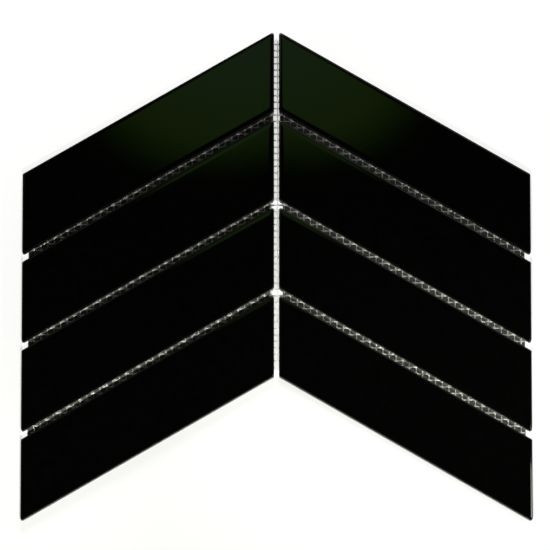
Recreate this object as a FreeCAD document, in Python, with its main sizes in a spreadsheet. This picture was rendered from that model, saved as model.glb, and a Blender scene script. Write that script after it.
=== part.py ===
import FreeCAD, Part

import math
import os

import Sketcher

# One sheet of chevron wall tile: glazed ceramic tiles in two mirrored columns, stuck face up on a glass-fibre net.
# The sheet lies flat. X runs across it, Y runs up to the apex of the chevrons, Z is out of the glazed faces.
# The origin is under the middle of the sheet's outline, at the underside of the net.

doc = FreeCAD.newDocument("ChevronWallTile")
sizes = doc.addObject("Spreadsheet::Sheet", "Sizes")

# Lengths in millimetres, the slope in degrees.
DRIVING = (
    ("tile_width", 38, "across a tile, square to its long sides"),
    ("tile_length", 155, "along a tile's slanted long side"),
    ("tile_thickness", 6, "back of a tile to its glazed face"),
    ("slope_deg", 30, "fall of the long sides from the apex"),
    ("arris_radius", 1.0, "rounded edge round the glazed face"),
    ("corner_ease", 0.2, "what a tile's upright corners are rounded by beyond the arris"),
    ("row_joint", 3.2, "between two rows, square to the slope"),
    ("centre_joint", 2.6, "between the two columns"),
    ("net_pitch", 3.5, "strand to strand, both ways"),
    ("strand_width", 0.9, "a net strand, flattened"),
    ("strand_thickness", 0.2, "a net strand, back to front"),
    ("strand_bite", 0.1, "how deep two strands are pressed into each other where they cross"),
    ("strand_shift", 0.6, "upright strand in the centre joint, right of the middle"),
    ("net_inset", 3, "from the sheet's outline to the cut edge of the net"),
)
for line, (alias, value, note) in enumerate(DRIVING, start=1):
    sizes.set(f"A{line}", note)
    sizes.set(f"B{line}", str(value))
    sizes.setAlias(f"B{line}", alias)
doc.recompute()

ROWS = 4
SIDES = {"left": -1, "right": 1}

# What follows from the driving sizes, as expressions that the tiles are bound to.
RUN = "Sizes.tile_length * cos(Sizes.slope_deg)"
RISE = "Sizes.tile_length * sin(Sizes.slope_deg)"
UPRIGHT = "Sizes.tile_width / cos(Sizes.slope_deg)"
GAP = "Sizes.row_joint / cos(Sizes.slope_deg)"
NET_FACE = "2 * Sizes.strand_thickness - Sizes.strand_bite"


def foot(row):
    """Height of the lower end of a tile's inner side, with the sheet's outline centred on the origin."""
    return f"({RISE} + {GAP}) / 2 + ({row} - 1 - {ROWS} / 2) * ({UPRIGHT} + {GAP})"


def origin_plane(body, role):
    return next(plane for plane in body.Origin.OriginFeatures if plane.Role == role)


def outline_sketch(body, side):
    """A parallelogram with upright ends, its inner end beside the centre joint."""
    sketch = body.newObject("Sketcher::SketchObject", f"{body.Name}_outline")
    sketch.AttachmentSupport = (origin_plane(body, "XY_Plane"), "")
    sketch.MapMode = "FlatFace"
    run, rise, upright = sizes.tile_length, sizes.tile_length / 2, sizes.tile_width
    inner, outer = side * sizes.centre_joint, side * run
    corners = (
        FreeCAD.Vector(inner, 0),
        FreeCAD.Vector(inner, upright),
        FreeCAD.Vector(outer, upright - rise),
        FreeCAD.Vector(outer, -rise),
    )
    for start, end in zip(corners, corners[1:] + corners[:1]):
        sketch.addGeometry(Part.LineSegment(start, end), False)
    inner_end, top, outer_end, bottom = range(4)
    for line in range(4):
        sketch.addConstraint(Sketcher.Constraint("Coincident", line, 2, (line + 1) % 4, 1))
    sketch.addConstraint(Sketcher.Constraint("Vertical", inner_end))
    sketch.addConstraint(Sketcher.Constraint("Vertical", outer_end))
    sketch.addConstraint(Sketcher.Constraint("Parallel", top, bottom))
    sketch.addConstraint(Sketcher.Constraint("PointOnObject", inner_end, 1, -1))
    centre_line, inner_foot, outer_foot = (-1, 1), (inner_end, 1), (bottom, 1)
    across = ((centre_line, inner_foot), (inner_foot, outer_foot))
    if side < 0:
        across = tuple((far, near) for near, far in across)
    bound = (
        ("inner_end", "DistanceX", *across[0], "Sizes.centre_joint / 2"),
        ("run", "DistanceX", *across[1], RUN),
        ("rise", "DistanceY", outer_foot, inner_foot, RISE),
        ("upright", "DistanceY", inner_foot, (inner_end, 2), UPRIGHT),
    )
    for name, kind, start, end, expression in bound:
        number = sketch.addConstraint(Sketcher.Constraint(kind, *start, *end, 1.0))
        sketch.renameConstraint(number, name)
        sketch.setExpression(f"Constraints.{name}", expression)
    doc.recompute()
    return sketch


def edge_names(feature, wanted):
    """Names of the feature's edges that pass a test."""
    return [f"Edge{number}" for number, edge in enumerate(feature.Shape.Edges, start=1) if wanted(edge)]


def rounding(body, base, edges, name, radius):
    fillet = body.newObject("PartDesign::Fillet", f"{body.Name}_{name}")
    fillet.Base = (base, edges)
    fillet.setExpression("Radius", radius)
    doc.recompute()
    return fillet


def tile(name, side, row):
    """A pressed tile: a plain flat back, upright sides and one soft arris round the glazed face."""
    body = doc.addObject("PartDesign::Body", name)
    body.Label = name
    block = body.newObject("PartDesign::Pad", f"{name}_block")
    block.Profile = outline_sketch(body, side)
    block.setExpression("Length", "Sizes.tile_thickness")
    doc.recompute()
    upright_edges = edge_names(block, lambda edge: edge.BoundBox.ZLength > sizes.tile_thickness / 2)
    cornered = rounding(body, block, upright_edges, "corners", "Sizes.arris_radius + Sizes.corner_ease")
    face_edges = edge_names(cornered, lambda edge: edge.BoundBox.ZMin > sizes.tile_thickness / 2)
    body.Tip = rounding(body, cornered, face_edges, "arris", "Sizes.arris_radius")
    body.setExpression("Placement.Base.y", foot(row))
    body.setExpression("Placement.Base.z", NET_FACE)
    return body


def net_limits(row, x):
    """The heights between which a row's part of the net has its crossings, at one upright strand."""
    slope = math.radians(sizes.slope_deg)
    upright = sizes.tile_width / math.cos(slope)
    gap = sizes.row_joint / math.cos(slope)
    edge = (sizes.net_inset + sizes.net_pitch / 2) / math.cos(slope)
    rise = sizes.tile_length * math.sin(slope)
    inner_foot = (rise + gap) / 2 + (row - 1 - ROWS / 2) * (upright + gap)
    tile_foot = inner_foot - (abs(x) - sizes.centre_joint / 2) * math.tan(slope)
    low = tile_foot + edge if row == 1 else tile_foot - gap / 2
    high = tile_foot + upright - edge if row == ROWS else tile_foot + upright + gap / 2
    return low, high


def strand_places(low, high, shift):
    """Middles of the strands from low up to high, on the one grid that the whole net has."""
    first = math.ceil((low - shift) / sizes.net_pitch)
    last = math.ceil((high - shift) / sizes.net_pitch)
    return [shift + number * sizes.net_pitch for number in range(first, last)]


def upright_strand(x, y_places):
    """A strand up the sheet, on the back of the net, cut off half a mesh beyond its last crossings."""
    corner = FreeCAD.Vector(x - sizes.strand_width / 2, min(y_places) - sizes.net_pitch / 2, 0)
    height = max(y_places) - min(y_places) + sizes.net_pitch
    return Part.makeBox(sizes.strand_width, height, sizes.strand_thickness, corner)


def cross_strand(x_places, y):
    """A strand across the sheet, laid over the upright ones and pressed into them."""
    floor = sizes.strand_thickness - sizes.strand_bite
    corner = FreeCAD.Vector(min(x_places) - sizes.net_pitch / 2, y - sizes.strand_width / 2, floor)
    width = max(x_places) - min(x_places) + sizes.net_pitch
    return Part.makeBox(width, sizes.strand_width, sizes.strand_thickness, corner)


def net_panel(name, row, low_x, high_x):
    """The net behind one half of a tile. Its strands are fused where they cross and meet the next panel's end on."""
    columns = {}
    for x in strand_places(low_x, high_x, sizes.strand_shift):
        columns[x] = strand_places(*net_limits(row, x), 0)
    uprights = [upright_strand(x, places) for x, places in columns.items() if places]
    levels = sorted({y for places in columns.values() for y in places})
    across = [cross_strand([x for x in columns if y in columns[x]], y) for y in levels]
    panel = doc.addObject("Part::Feature", name)
    panel.Label = name
    panel.Shape = Part.makeCompound(uprights).fuse(Part.makeCompound(across)).Solids[0]
    return panel


def half_width():
    """From the middle of the sheet to its outer sides."""
    return sizes.centre_joint / 2 + sizes.tile_length * math.cos(math.radians(sizes.slope_deg))


net_side = half_width() - sizes.net_inset - sizes.net_pitch / 2
net_middle = half_width() / 2
NET_COLUMNS = {
    "left_outer": (-net_side, -net_middle),
    "left_inner": (-net_middle, 0),
    "right_inner": (0, net_middle),
    "right_outer": (net_middle, net_side),
}

pieces = []
for row in range(1, ROWS + 1):
    for side_name, side in SIDES.items():
        pieces.append(tile(f"tile_{side_name}_{row}", side, row))
    for column_name, (low_x, high_x) in NET_COLUMNS.items():
        pieces.append(net_panel(f"net_{column_name}_{row}", row, low_x, high_x))
doc.recompute()

for item in doc.Objects:
    if "Invalid" in item.State or "Error" in item.State:
        raise RuntimeError(f"{item.Name} failed: {item.State}")
for piece in pieces:
    if piece.Shape.isNull() or not piece.Shape.isValid() or len(piece.Shape.Solids) != 1:
        raise RuntimeError(f"{piece.Label} is not one valid solid")

os.makedirs("parts", exist_ok=True)
for piece in pieces:
    piece.Shape.exportStep(f"parts/{piece.Label}.step")
    box = piece.Shape.BoundBox
    print(f"{piece.Label}: {box.XLength:.2f} x {box.YLength:.2f} x {box.ZLength:.2f} mm, {piece.Shape.Volume:.1f} mm3")
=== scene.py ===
import math

import bmesh
import bpy
from mathutils import Matrix, Vector, noise


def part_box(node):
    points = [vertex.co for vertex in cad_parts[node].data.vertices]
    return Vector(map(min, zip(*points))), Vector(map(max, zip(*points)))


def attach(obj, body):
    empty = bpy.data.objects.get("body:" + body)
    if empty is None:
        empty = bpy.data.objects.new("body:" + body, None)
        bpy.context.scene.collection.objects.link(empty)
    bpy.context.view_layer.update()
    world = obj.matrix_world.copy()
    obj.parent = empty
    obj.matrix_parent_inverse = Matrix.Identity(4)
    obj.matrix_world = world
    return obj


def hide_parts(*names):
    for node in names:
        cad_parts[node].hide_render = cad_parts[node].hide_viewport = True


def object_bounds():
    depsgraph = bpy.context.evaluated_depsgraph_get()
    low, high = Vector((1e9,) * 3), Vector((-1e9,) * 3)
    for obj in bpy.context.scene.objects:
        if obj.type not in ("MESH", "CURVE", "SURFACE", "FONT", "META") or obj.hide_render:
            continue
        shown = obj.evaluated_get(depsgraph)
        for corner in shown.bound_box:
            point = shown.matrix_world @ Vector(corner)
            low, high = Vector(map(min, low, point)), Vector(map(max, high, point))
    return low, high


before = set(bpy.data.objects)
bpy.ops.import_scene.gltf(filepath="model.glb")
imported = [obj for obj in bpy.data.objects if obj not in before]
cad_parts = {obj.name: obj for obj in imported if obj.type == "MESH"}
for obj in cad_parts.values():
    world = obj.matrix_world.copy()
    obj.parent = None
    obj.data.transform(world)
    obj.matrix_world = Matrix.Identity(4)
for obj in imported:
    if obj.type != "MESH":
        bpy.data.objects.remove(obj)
cad_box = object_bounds()

# The camera stands three metres over the middle of the sheet, a little towards its foot, and looks straight
# at it through a long lens.

LENS_SENSOR = 0.036
PICTURE_SIDE = 550
PIXELS_PER_METRE = 1878
CAMERA_DISTANCE = 3.0
CAMERA_SIGHT = 50
CAMERA_LEAN = math.radians(8.9)
AIM = Vector((-0.0008, 0.0001, 0.004))

camera_data = bpy.data.cameras.new("camera")
camera_data.sensor_width = LENS_SENSOR * 1000
camera_data.lens = PIXELS_PER_METRE * CAMERA_DISTANCE / PICTURE_SIDE * camera_data.sensor_width
camera_data.clip_end = CAMERA_SIGHT
camera = bpy.data.objects.new("camera", camera_data)
camera.location = AIM + CAMERA_DISTANCE * Vector((0, -math.sin(CAMERA_LEAN), math.cos(CAMERA_LEAN)))
camera.rotation_euler = (CAMERA_LEAN, 0, 0)
bpy.context.scene.collection.objects.link(camera)
bpy.context.scene.camera = camera


# The net: glass-fibre yarns in twisted pairs up the sheet and flat ones across it, dipped in white resin.
# Each pair locks a cross yarn between its two yarns. The net is cut just inside the sheet's outline.

MESH = 0.0035
JOIN_REACH = MESH / 1000
YARN_SIDES = 6
PAIR_HALF_WIDTH, PAIR_HALF_DEPTH = 0.00021, 0.000065
PAIR_SWING = 0.00024
CROSS_HALF_WIDTH, CROSS_HALF_DEPTH = 0.00045, 0.000055
CROSS_LEVEL = 0.00015
OVER_LEVEL, UNDER_LEVEL = 0.000235, 0.000065
TWIST_GAP = 0.00003
STRAY = 0.00022
STRAY_SCALE, STRAY_SEED = 55, 1
RESIN_CLEAN, RESIN_DUSTY = (0.90, 0.91, 0.88, 1), (0.80, 0.81, 0.77, 1)
RESIN_ROUGHNESS, DUST_ROUGHNESS = 0.42, 0.2
DUST_SCALE, DUST_EDGES = 320, (0.3, 0.75)
FIBRE_SCALE, FIBRE_DEPTH, FIBRE_STRENGTH = 9000, 0.00003, 0.35


class Socket:
    """A shader value that Python's operators build on, as they would on a number."""

    def __init__(self, tree, link):
        self.tree, self.link = tree, link

    def maths(self, operation, *values):
        """A Math node of this value and others."""
        numbered = dict(enumerate((self, *values)))
        return Shader(self.tree).node("ShaderNodeMath", {"operation": operation}, numbered)

    def __add__(self, other):
        return self.maths("ADD", other)

    def __sub__(self, other):
        return self.maths("SUBTRACT", other)

    def __mul__(self, other):
        return self.maths("MULTIPLY", other)

    def __truediv__(self, other):
        return self.maths("DIVIDE", other)

    def __rsub__(self, other):
        return self * -1 + other

    __radd__, __rmul__ = __add__, __mul__

    def step(self, start, end):
        """0 before start, 1 past end, and smooth between them."""
        settings = {"interpolation_type": "SMOOTHSTEP"}
        values = {"Value": self, "From Min": start, "From Max": end}
        return Shader(self.tree).node("ShaderNodeMapRange", settings, values)


class Shader:
    """The nodes of one material."""

    # Where a Mix node keeps its two colours, and the colour that it makes of them.
    MIX_FIRST, MIX_SECOND, MIX_RESULT = 6, 7, 2

    def __init__(self, tree):
        self.tree = tree

    def node(self, kind, settings=None, values=None, output=0):
        """Adds a node, sets it up, fills or links its sockets, and gives the output asked for."""
        made = self.tree.nodes.new(kind)
        for name, value in (settings or {}).items():
            setattr(made, name, value)
        for name, value in (values or {}).items():
            if isinstance(value, Socket):
                self.tree.links.new(value.link, made.inputs[name])
            else:
                made.inputs[name].default_value = value
        return Socket(self.tree, made.outputs[output])

    def mixed(self, mask, first, second):
        """One colour where the mask is 0 and another where it is 1."""
        values = {"Factor": mask, self.MIX_FIRST: first, self.MIX_SECOND: second}
        return self.node("ShaderNodeMix", {"data_type": "RGBA"}, values, self.MIX_RESULT)

    def place(self, scale=(1, 1, 1)):
        """Where a point is on the object, in metres, stretched by scale."""
        coordinate = self.node("ShaderNodeTexCoord", output="Object")
        return self.node("ShaderNodeMapping", None, {"Vector": coordinate, "Scale": scale})

    def axis(self, place, number):
        """One number of a place: 0 across the sheet, 1 up it, and 2 off the table."""
        return self.node("ShaderNodeSeparateXYZ", None, {"Vector": place}, number)

    def noise(self, place, scale, detail=2):
        """Soft random mottling around 0.5, with about that many spots to the metre."""
        return self.node("ShaderNodeTexNoise", None, {"Vector": place, "Scale": scale, "Detail": detail})


def surface(name, build):
    """A material whose one Principled shader takes the values that build gives for its sockets."""
    material = bpy.data.materials.new(name)
    material.use_nodes = True
    tree = material.node_tree
    principled = tree.nodes["Principled BSDF"]
    for socket, value in build(Shader(tree)).items():
        if isinstance(value, Socket):
            tree.links.new(value.link, principled.inputs[socket])
        else:
            principled.inputs[socket].default_value = value
    return material


def resin_coat(shader):
    """White resin over glass yarns: fine ridges of fibre, and a slightly uneven, dusty white."""
    fibre = shader.noise(shader.place(), FIBRE_SCALE, detail=1)
    dust = shader.noise(shader.place(), DUST_SCALE)
    ridges = {"Strength": FIBRE_STRENGTH, "Distance": FIBRE_DEPTH, "Height": fibre}
    return {
        "Base Color": shader.mixed(dust.step(*DUST_EDGES), RESIN_CLEAN, RESIN_DUSTY),
        "Roughness": RESIN_ROUGHNESS + dust * DUST_ROUGHNESS,
        "Normal": shader.node("ShaderNodeBump", None, ridges),
    }


def piece(name, bm, material, nodes):
    """Puts a finished mesh in the scene in place of CAD nodes."""
    mesh = bpy.data.meshes.new(name)
    bm.to_mesh(mesh)
    bm.free()
    mesh.shade_smooth()
    mesh.materials.append(material)
    made = bpy.data.objects.new(name, mesh)
    bpy.context.scene.collection.objects.link(made)
    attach(made, "root")
    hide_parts(*nodes)


def yarn(bm, start, steps, half_width, half_depth, along):
    """A flattened yarn: a ring of points set across its start and carried on step by step."""
    across = Vector((1, 0, 0)) if along.y else Vector((0, 1, 0))
    axes = Matrix((across * half_width, Vector((0, 0, 1)) * half_depth, along)).transposed().to_4x4()
    placed = Matrix.Translation(start) @ axes
    ring = bmesh.ops.create_circle(bm, segments=YARN_SIDES, radius=1, matrix=placed)
    edges = list({edge for vert in ring["verts"] for edge in vert.link_edges})
    for step in steps:
        grown = bmesh.ops.extrude_edge_only(bm, edges=edges)["geom"]
        verts = [item for item in grown if isinstance(item, bmesh.types.BMVert)]
        edges = [item for item in grown if isinstance(item, bmesh.types.BMEdge)]
        bmesh.ops.translate(bm, verts=verts, vec=step)


def pair_place(turn, level, twist):
    """Where one yarn of a twisted pair is, at a turn from -1/2 to 1/2 of a mesh past the crossing."""
    swing = math.cos(math.pi * turn)
    height = level + (CROSS_LEVEL - level) * (1 - swing) * 0.5
    return Vector((twist * PAIR_SWING * swing, MESH * turn, height))


def crossing_mesh(twist):
    """One crossing, half a mesh out each way, with its yarns' ends open to join the next ones."""
    bm = bmesh.new()
    for side, level in ((1, OVER_LEVEL), (-1, UNDER_LEVEL)):
        places = [pair_place(quarter / 4, level, side * twist) for quarter in range(-2, 3)]
        for end in (places[0], places[-1]):
            end.z += side * TWIST_GAP
        steps = [after - before for before, after in zip(places, places[1:])]
        yarn(bm, places[0], steps, PAIR_HALF_WIDTH, PAIR_HALF_DEPTH, Vector((0, 1, 0)))
    half_mesh = Vector((MESH / 2, 0, 0))
    start = Vector((0, 0, CROSS_LEVEL)) - half_mesh
    yarn(bm, start, [half_mesh, half_mesh], CROSS_HALF_WIDTH, CROSS_HALF_DEPTH, Vector((1, 0, 0)))
    bmesh.ops.recalc_face_normals(bm, faces=bm.faces)
    mesh = bpy.data.meshes.new("crossing")
    bm.to_mesh(mesh)
    bm.free()
    return mesh


def stray(place):
    """How far the yarns have wandered from a true grid: alike on both sides of a node's edge."""
    drift = noise.noise_vector(Vector((place.x, place.y, 0)) * STRAY_SCALE)
    return Vector((drift.x, drift.y, 0)) * STRAY


noise.seed_set(STRAY_SEED)
# The pairs twist one way at one crossing and the other way at the next one up the sheet.
crossings = {parity: crossing_mesh(1 - 2 * parity) for parity in (0, 1)}
resin = surface("white_resin_net", resin_coat)
net_nodes = sorted(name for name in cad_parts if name.startswith("net_"))
net_foot = min(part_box(name)[0].y for name in net_nodes)
for name in net_nodes:
    low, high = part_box(name)
    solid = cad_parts[name]
    bm = bmesh.new()
    columns, levels = round((high.x - low.x) / MESH), round((high.y - low.y) / MESH)
    for column in range(columns):
        for level in range(levels):
            place = Vector((low.x + (column + 0.5) * MESH, low.y + (level + 0.5) * MESH, 0))
            if not solid.ray_cast(place + Vector((0, 0, 1)), Vector((0, 0, -1)))[0]:
                continue
            before = len(bm.verts)
            bm.from_mesh(crossings[round((place.y - net_foot) / MESH - 0.5) % 2])
            bm.verts.ensure_lookup_table()
            bmesh.ops.translate(bm, verts=bm.verts[before:], vec=place)
    bmesh.ops.remove_doubles(bm, verts=bm.verts, dist=JOIN_REACH)
    bmesh.ops.holes_fill(bm, edges=[edge for edge in bm.edges if edge.is_boundary], sides=YARN_SIDES)
    for vert in bm.verts:
        vert.co += stray(vert.co)
    piece(name.replace("net", "woven_net"), bm, resin, [name])


# The tiles: dust-pressed stoneware with a flat back, fired with a black gloss glaze over the face and the
# sides. The glaze draws back from the arris and thins over it, which leaves a soft pillowed edge round a flat
# face. The back is bare, with a film of the adhesive that holds the net.

SLOPE = math.radians(30)
ARRIS = 0.001
CORNER = 0.0012
BACK_EDGE = 0.00025
ROUND_SEGMENTS, BACK_SEGMENTS = 6, 2
PILLOW_WIDTH, PILLOW_DEPTH = 0.0032, 0.00024
PILLOW_CUTS = 8
# How far up the normal of a level face points, at least, and how near a cut may pass to a point it snaps to.
LEVEL_NORMAL, CUT_SNAP = 0.999, 1e-7
ACUTE_CUT = CORNER / math.tan((math.pi / 2 - SLOPE) / 2)
BLUNT_CUT = CORNER / math.tan((math.pi / 2 + SLOPE) / 2)
# What an acute corner loses to its rounding, up and down the sheet.
CORNER_LOSS = ACUTE_CUT * (1 + math.sin(SLOPE) - math.hypot(1, math.sin(SLOPE)))
# The faces of this row lean towards the foot of the sheet by this slope, as hand-laid pressed tiles do.
LEANING_ROW, FACE_LEAN = "3", 0.011
GLAZE_BLACKS = (0.0005, 0.0006, 0.0005, 1), (0.0009, 0.0011, 0.0008, 1)
CLAY_SHADES = (0.50, 0.46, 0.40, 1), (0.62, 0.58, 0.51, 1)
ADHESIVE_GREY = (0.74, 0.73, 0.68, 1)
GLAZE_END, GLAZE_WANDER = (0.00165, 0.00195), 0.0009
ADHESIVE_END = (0.0003, 0.0006)
GLAZE_ROUGHNESS, HAZE_ROUGHNESS = 0.045, 0.03
CLAY_ROUGHNESS, ADHESIVE_SMOOTHING = 0.82, 0.35
RIPPLE_DEPTH, WAVELET_DEPTH, PIT_DEPTH = 0.000016, 0.0000006, 0.00006
RIPPLE_SCALE, WAVELET_SCALE, HAZE_SCALE = 38, 300, 24
WANDER_SCALE, GRAIN_SCALE, ADHESIVE_SCALE = 260, 2600, 75
BLACK_EDGES, GRAIN_EDGES, ADHESIVE_EDGES = (0.3, 0.8), (0.35, 0.7), (0.42, 0.6)
GLAZE_IOR = 1.5


def bevelled(bm, edges, offset, segments):
    """Rounds these edges off, in that many steps."""
    bmesh.ops.bevel(
        bm, geom=edges, offset=offset, segments=segments, profile=0.5, material=-1, affect="EDGES",
        offset_type="OFFSET", clamp_overlap=False,
    )


def pillow_share(depth):
    """1 at the edge of the face, and 0 where its flat begins."""
    return max(0.0, 1 - depth / PILLOW_WIDTH) ** 2


def glazed_tile(low, high, side, lean):
    """A tile's mesh, from the corners of its box. side is -1 left of the centre joint and 1 right of it."""
    run = high.x - low.x
    fall = side * math.tan(SLOPE)
    upright = high.y - low.y + 2 * CORNER_LOSS - run * math.tan(SLOPE)
    middle = (low + high) / 2
    block = Matrix((
        (run, 0, 0, middle.x),
        (-fall * run, upright, 0, middle.y),
        (0, 0, high.z - low.z, middle.z),
        (0, 0, 0, 1),
    ))
    bm = bmesh.new()
    bmesh.ops.create_cube(bm, size=1, matrix=block)

    def corners(acute):
        """The upright edges with a sharp or a blunt angle between the sides that meet there."""
        found = []
        for edge in bm.edges:
            foot, head = edge.verts
            if abs(foot.co.z - head.co.z) > BACK_EDGE:
                above = foot.co.y > middle.y - fall * (foot.co.x - middle.x)
                outer = (foot.co.x > middle.x) == (side > 0)
                if (above != outer) == acute:
                    found.append(edge)
        return found

    bevelled(bm, corners(True), ACUTE_CUT, ROUND_SEGMENTS)
    blunt = [edge for edge in corners(False) if edge.calc_face_angle() > SLOPE]
    bevelled(bm, blunt, BLUNT_CUT, ROUND_SEGMENTS)
    rim = [edge for edge in bm.edges if all(vert.co.z > high.z - BACK_EDGE for vert in edge.verts)]
    bevelled(bm, rim, ARRIS, ROUND_SEGMENTS)
    back_rim = [edge for edge in bm.edges if all(vert.co.z < low.z + BACK_EDGE for vert in edge.verts)]
    bevelled(bm, back_rim, BACK_EDGE, BACK_SEGMENTS)

    across = Vector((math.sin(SLOPE) * side, math.cos(SLOPE), 0))
    half_run, half_width = run / 2, upright / 2 * math.cos(SLOPE)
    reaches = [ARRIS + (PILLOW_WIDTH - ARRIS) * cut / PILLOW_CUTS for cut in range(1, PILLOW_CUTS + 1)]
    cuts = [(Vector((sign, 0, 0)), half_run - reach) for reach in reaches for sign in (-1, 1)]
    cuts += [(across * sign, half_width - reach) for reach in reaches for sign in (-1, 1)]
    for normal, distance in cuts:
        face = [item for item in bm.faces if item.normal.z > LEVEL_NORMAL]
        geometry = face + list({edge for item in face for edge in item.edges})
        geometry += list({vert for item in face for vert in item.verts})
        cut_place = middle + normal * distance
        bmesh.ops.bisect_plane(bm, geom=geometry, dist=CUT_SNAP, plane_co=cut_place, plane_no=normal)
    for vert in bm.verts:
        if vert.co.z > middle.z:
            from_middle = vert.co - middle
            end_share = pillow_share(half_run - abs(from_middle.x))
            side_share = pillow_share(half_width - abs(from_middle.dot(across)))
            vert.co.z -= PILLOW_DEPTH * (1 - (1 - end_share) * (1 - side_share))
            vert.co.z -= lean * (half_width - from_middle.dot(across))
    return bm


def gloss_glaze(shader):
    """Black gloss glaze down to a wandering line near the back, then bare clay with a film of adhesive."""
    place = shader.place()
    height = shader.axis(place, 2)
    wander = shader.noise(place, WANDER_SCALE, detail=3)
    glazed = (height + wander * GLAZE_WANDER).step(*GLAZE_END)
    grain = shader.noise(place, GRAIN_SCALE, detail=4)
    clay = shader.mixed(grain.step(*GRAIN_EDGES), *CLAY_SHADES)
    film = shader.noise(place, ADHESIVE_SCALE, detail=4).step(*ADHESIVE_EDGES)
    film = film * (1 - height.step(*ADHESIVE_END))
    back = shader.mixed(film, clay, ADHESIVE_GREY)
    black = shader.mixed(wander.step(*BLACK_EDGES), *GLAZE_BLACKS)
    ripple = shader.noise(place, RIPPLE_SCALE, detail=1) * RIPPLE_DEPTH
    ripple = ripple + shader.noise(place, WAVELET_SCALE, detail=1) * WAVELET_DEPTH
    relief = ripple * glazed + grain * PIT_DEPTH * (1 - glazed)
    polish = GLAZE_ROUGHNESS + shader.noise(place, HAZE_SCALE, detail=3) * HAZE_ROUGHNESS
    bare = CLAY_ROUGHNESS - film * ADHESIVE_SMOOTHING
    return {
        "Base Color": shader.mixed(glazed, back, black),
        "Roughness": polish * glazed + bare * (1 - glazed),
        "Normal": shader.node("ShaderNodeBump", None, {"Strength": 1, "Distance": 1, "Height": relief}),
        "IOR": GLAZE_IOR,
    }


glaze = surface("black_gloss_glaze", gloss_glaze)
for name in sorted(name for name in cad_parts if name.startswith("tile_")):
    low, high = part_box(name)
    side = 1 if low.x > 0 else -1
    bm = glazed_tile(low, high, side, FACE_LEAN if name.endswith(LEANING_ROW) else 0)
    piece(name.replace("tile", "glazed_tile"), bm, glaze, [name])


# The table that the sheet lies on: a wide board that comes out white in the picture, by a glow that only the
# camera sees, with the sheet's own soft shadow on it. Behind the net it is painted dark, painted shade for
# the shade deep in the joints, so that the yarns show. A pale strip down the centre joint and two white
# places where the lower joints cross it glow there: painted light for the light that runs along the centre
# joint.

TABLE_SIDE = 12
TABLE_DROP = 0.00005
# The board's own grey, and the darker grey painted under the net: painted shade for the shade in the joints.
OPEN_SHADE, NET_PAINTED_SHADE = 0.35, 0.12
TABLE_GLOW = 0.88
# Where the lamps over the foot of the sheet light the table, it glows less, which keeps the shadow there.
POOL_MIDDLE, POOL_WIDENING = (0, -0.09, 0), (0.6, 1, 1)
POOL_CORE, POOL_RIM, POOL_LIGHT = 0.04, 0.27, 0.28
NET_INSET = 0.003
BOARD_EDGE = 0.0005
# Painted light down the centre joint: how far it reaches either side of the middle, and what share of the
# glow shows there.
CENTRE_REACH, CENTRE_PAINTED_LIGHT = 0.002, 0.70
# Painted light at the crossings: the rows whose upper joint gets a white glowing patch where it meets the
# centre joint, and where that patch sits and how big it is.
PAINTED_LIGHT_CROSSINGS = (1, 2)
CROSSING_RISE, CROSSING_REACH, CROSSING_HALF = 0.0031, 0.0036, 0.0021
# Where the upper and the lower edge of the left side would meet the middle line of the sheet.
head_corner, foot_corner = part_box("tile_left_4")[1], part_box("tile_left_1")[0]
sheet_head = head_corner.y + CORNER_LOSS - head_corner.x * math.tan(SLOPE)
sheet_foot = foot_corner.y - CORNER_LOSS - foot_corner.x * math.tan(SLOPE)


def stage_piece(name, bm, finish, build):
    """Puts a mesh beside the object, with a material that sends out the light that build gives."""
    mesh = bpy.data.meshes.new(name)
    bm.to_mesh(mesh)
    bm.free()
    material = bpy.data.materials.new(finish)
    material.use_nodes = True
    tree = material.node_tree
    tree.links.new(build(Shader(tree)).link, tree.nodes["Material Output"].inputs["Surface"])
    mesh.materials.append(material)
    made = bpy.data.objects.new(name, mesh)
    bpy.context.scene.collection.objects.link(made)
    return made


def table_top(shader):
    """A diffuse board with its glow: painted shade under the net, painted light at the centre joint and
    crossings.
    """
    place = shader.place()
    across = shader.axis(place, 0).maths("ABSOLUTE")
    up = shader.axis(place, 1) + across * math.tan(SLOPE)

    def inside(inset):
        """1 under the sheet, short of its outline by inset."""
        side, end = cad_box[1].x - inset, inset / math.cos(SLOPE)
        foot, head = sheet_foot + end, sheet_head - end
        mask = across.step(side, side - BOARD_EDGE)
        return mask * up.step(foot, foot + BOARD_EDGE) * up.step(head, head - BOARD_EDGE)

    # Painted shade: 1 under the net, where the board is darker and does not glow. It is less down the centre
    # joint and at two crossings, where painted light glows through.
    painted_shade = inside(NET_INSET)
    painted_shade = painted_shade * (1 - CENTRE_PAINTED_LIGHT * across.step(CENTRE_REACH, CENTRE_REACH - BOARD_EDGE))
    for row in PAINTED_LIGHT_CROSSINGS:
        off_joint = (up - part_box(f"tile_left_{row}")[1].y - CROSSING_RISE).maths("ABSOLUTE")
        crossing = across.step(CROSSING_REACH, CROSSING_REACH - BOARD_EDGE)
        painted_shade = painted_shade * (1 - crossing * off_joint.step(CROSSING_HALF, CROSSING_HALF - BOARD_EDGE))
    shades = [(grey, grey, grey, 1) for grey in (OPEN_SHADE, NET_PAINTED_SHADE)]
    board = shader.node("ShaderNodeBsdfDiffuse", None, {"Color": shader.mixed(painted_shade, *shades)})

    pool_ends = {0: shader.place(POOL_WIDENING), 1: POOL_MIDDLE}
    off_pool = shader.node("ShaderNodeVectorMath", {"operation": "DISTANCE"}, pool_ends, "Value")
    pool = 1 - off_pool.step(POOL_CORE, POOL_RIM)
    white = TABLE_GLOW - POOL_LIGHT * pool * (1 - inside(0))
    seen = shader.node("ShaderNodeLightPath", output="Is Camera Ray")
    glow = shader.node("ShaderNodeEmission", None, {"Strength": seen * (1 - painted_shade) * white})
    return shader.node("ShaderNodeAddShader", None, {0: board, 1: glow})


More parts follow.
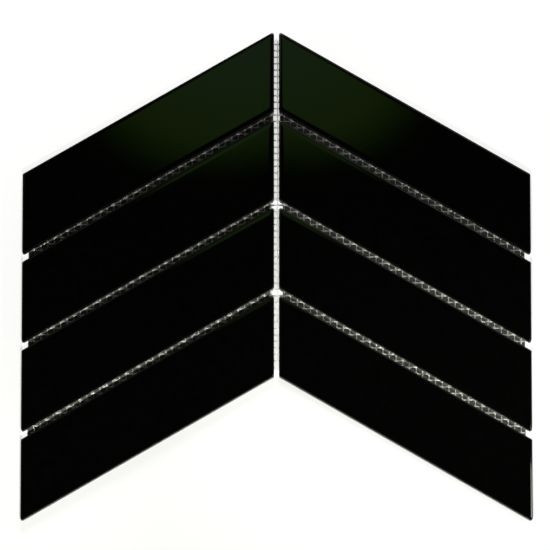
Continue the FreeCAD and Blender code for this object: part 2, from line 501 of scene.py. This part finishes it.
bm = bmesh.new()
lowered = Matrix.Translation((0, 0, -TABLE_DROP))
bmesh.ops.create_grid(bm, x_segments=1, y_segments=1, size=TABLE_SIDE / 2, matrix=lowered)
stage_piece("table", bm, "white_board", table_top)


# The lamps: a soft one past the head of the sheet, two weak ones at its sides, a low one at the right of its
# foot, and two small ones over its foot, whose grids point them at its right and its left. The last three
# give each joint its thin bright line.

NEUTRAL, STRAW = (1.0, 1.0, 0.98), (0.98, 1.0, 0.90)
LAMPS = {
    # name: bearing from the head of the sheet to the right, rise, distance, width, depth, level, colour,
    # whether the glaze mirrors it, the place on the table that it points at, and the angle that its grid
    # lets light out through
    "head_lamp": (1, 38, 1.8, 0.36, 0.9, 0.30, NEUTRAL, True, (0, 0), 180),
    "right_head_lamp": (28, 36, 1.8, 0.8, 0.8, 0.02, STRAW, True, (0, 0), 180),
    "left_lamp": (-60, 35, 1.6, 0.5, 0.6, 0.02, STRAW, True, (0, 0), 180),
    "low_lamp": (110.6, 33.8, 0.36, 0.08, 0.08, 0.38, STRAW, True, (0.062, -0.072), 48),
    "right_foot_lamp": (182, 60.6, 0.897, 0.05, 0.05, 0.98, STRAW, False, (0.135, -0.078), 27),
    "left_foot_lamp": (182, 60.6, 0.897, 0.05, 0.05, 0.82, STRAW, False, (-0.12, -0.10), 30),
}


def lamp(name, bearing, rise, distance, width, depth, level, colour, mirrored, aim, spread):
    """A soft lamp that gives a level white board under it that share of white, where it points."""
    bearing, rise, half_spread = math.radians(bearing), math.radians(rise), math.radians(spread / 2)
    level_part = math.cos(rise)
    toward = Vector((math.sin(bearing) * level_part, math.cos(bearing) * level_part, math.sin(rise)))
    light = bpy.data.lights.new(name, "AREA")
    light.shape = "RECTANGLE"
    light.size, light.size_y = width, depth
    light.color = colour
    light.spread = 2 * half_spread
    # A narrow grid gathers the lamp's light, so the lamp needs only this share of its power.
    gathered = 1 - half_spread / math.tan(half_spread)
    light.energy = level * math.pi * math.pi * distance ** 2 / math.sin(rise) * gathered
    made = bpy.data.objects.new(name, light)
    made.location = toward * distance
    made.rotation_euler = (Vector((*aim, 0)) - made.location).to_track_quat("-Z", "Y").to_euler()
    made.visible_camera, made.visible_glossy = False, mirrored
    bpy.context.scene.collection.objects.link(made)


for name, values in LAMPS.items():
    lamp(name, *values)


# The card: a dim green disc high up past the head of the sheet, that only the glaze sees. Its mirror image is
# the green sheen on the upper tiles, grey green in the middle and leaf green towards the edge.

CARD_PLACE = Vector((-0.0164, 0.3615, 1.0))
CARD_RADIUS = 0.1476
CARD_SIDES = 48
CARD_RIM, CARD_FADE = 1.08, 0.77
CARD_MIDDLE, CARD_SIDE = (0.157, 0.326, 0.127, 1), (0.117, 0.247, 0.025, 1)
CARD_TURN = (0.2, 1.0)


def dim_card(shader):
    """Light that turns from one green to the other, and fades out at the rim, in shares of the radius."""
    coordinate = shader.node("ShaderNodeTexCoord", output="Object")
    centred = shader.node("ShaderNodeMapping", None, {"Vector": coordinate, "Location": -CARD_PLACE})
    reach = shader.node("ShaderNodeVectorMath", {"operation": "LENGTH"}, {0: centred}, "Value") / CARD_RADIUS
    colour = shader.mixed(reach.step(*CARD_TURN), CARD_MIDDLE, CARD_SIDE)
    fade = 1 - reach.step(CARD_FADE, CARD_RIM)
    return shader.node("ShaderNodeEmission", None, {"Color": colour, "Strength": fade})


bm = bmesh.new()
bmesh.ops.create_circle(bm, cap_ends=True, segments=CARD_SIDES, radius=CARD_RADIUS * CARD_RIM,
                        matrix=Matrix.Translation(CARD_PLACE))
card = stage_piece("dim_card", bm, "dim_green_card", dim_card)
card.visible_camera = card.visible_diffuse = card.visible_shadow = False


# The room: white to the camera, so that the picture ends in white past the table. The glaze mirrors its pale
# low walls, faintly green, and the dark above them, and everything else gets a little even light from it.

ROOM_FILL = 0.03
ROOM_OVERHEAD, ROOM_WALL = 0.001, 0.22
WALL_TOP = (0.4, 0.85)
WHITE, WALL_TINT = (1, 1, 1, 1), (0.97, 1.0, 0.90, 1)

world = bpy.data.worlds.new("room")
world.use_nodes = True
bpy.context.scene.world = world
room = Shader(world.node_tree)
height = room.axis(room.node("ShaderNodeTexCoord", output="Generated"), 2)
low_wall = 1 - height.step(*WALL_TOP)
mirrored = ROOM_OVERHEAD + low_wall * (ROOM_WALL - ROOM_OVERHEAD)
camera_ray = room.node("ShaderNodeLightPath", output="Is Camera Ray")
glossy_ray = room.node("ShaderNodeLightPath", output="Is Glossy Ray")
strength = camera_ray + (1 - camera_ray) * (glossy_ray * mirrored + (1 - glossy_ray) * ROOM_FILL)
tint = room.mixed(glossy_ray, WHITE, WALL_TINT)
background = world.node_tree.nodes["Background"]
world.node_tree.links.new(tint.link, background.inputs["Color"])
world.node_tree.links.new(strength.link, background.inputs["Strength"])

bpy.context.scene.view_settings.view_transform = "Standard"
